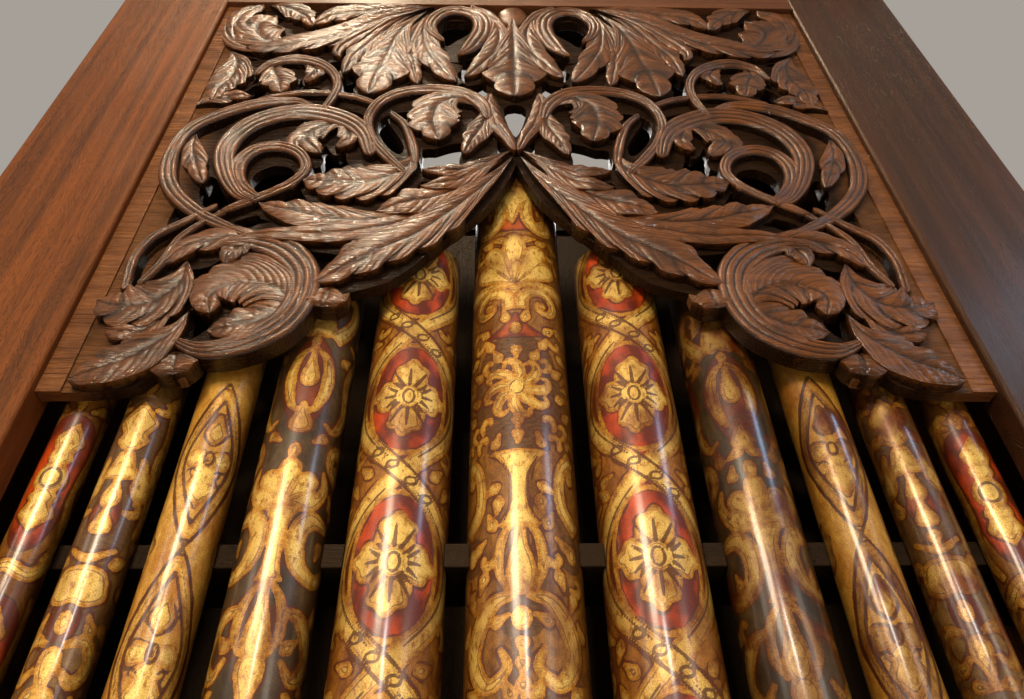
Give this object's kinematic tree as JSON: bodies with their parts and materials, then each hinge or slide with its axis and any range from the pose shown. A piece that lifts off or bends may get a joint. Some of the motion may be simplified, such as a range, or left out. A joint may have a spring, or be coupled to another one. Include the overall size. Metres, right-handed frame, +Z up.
{
  "type": "organ case pipe flat",
  "caption": "Free-standing organ case bay: painted metal front pipes on a toe board between oak posts, under a carved and pierced pipe shade and a moulded cornice.",
  "frame": {"origin": "on the floor, under the middle of the whole with its cornice", "axes": "the front faces -Y, +X runs to the right seen from the front, +Z is up"},
  "size_m": [1.94, 0.64, 3.23],
  "materials": {
    "oak_posts": "aged varnished oak, satin",
    "oak_frame": "aged varnished oak, satin",
    "oak_carved": "carved oak under glossy old varnish",
    "oak_inner": "dark aged oak, matt",
    "pipe_centre": "brown and ochre paint with gold ornament, glossy varnish",
    "pipe_second": "gold ribbons round vermilion ovals, glossy varnish",
    "pipe_third": "grey-brown ground with gold arabesques, glossy varnish",
    "pipe_fourth": "ochre ground with crossing gold bands, glossy varnish",
    "pipe_fifth": "dark brown ground with gold leaves, glossy varnish",
    "pipe_outer": "vermilion roundels and gold bands, glossy varnish"
  },
  "bodies": {
    "root": {"post_left": "oak_posts", "post_right": "oak_posts", "base_rail_front": "oak_frame", "impost_moulding": "oak_frame", "toe_board": "oak_inner", "toe_rail": "oak_inner", "pipe_01": "pipe_outer", "pipe_02": "pipe_fifth", "pipe_03": "pipe_fourth", "pipe_04": "pipe_third", "pipe_05": "pipe_second", "pipe_06": "pipe_centre", "pipe_07": "pipe_second", "pipe_08": "pipe_third", "pipe_09": "pipe_fourth", "pipe_10": "pipe_fifth", "pipe_11": "pipe_outer", "rack_board": "oak_inner", "rack_brackets": "oak_inner", "shade_left": "oak_carved", "shade_right": "oak_carved", "shade_stems": "oak_carved", "shade_leaves": "oak_carved", "shade_middle_leaf": "oak_carved", "shade_small_leaves": "oak_carved", "head_rail": "oak_frame", "cornice_front": "oak_frame", "cornice_left": "oak_frame", "cornice_right": "oak_frame", "roof_boards": "oak_inner", "back_post_left": "oak_frame", "back_post_right": "oak_frame", "base_rail_left": "oak_frame", "base_rail_right": "oak_frame", "base_rail_back": "oak_frame", "side_rails_left": "oak_frame", "side_rails_right": "oak_frame", "side_panels_left": "oak_frame", "side_panels_right": "oak_frame", "back_top_rails": "oak_inner", "back_stile_left": "oak_inner", "back_stile_right": "oak_inner", "back_panel_left": "oak_inner", "back_panel_middle": "oak_inner", "back_panel_right": "oak_inner"}
  },
  "joints": []
}
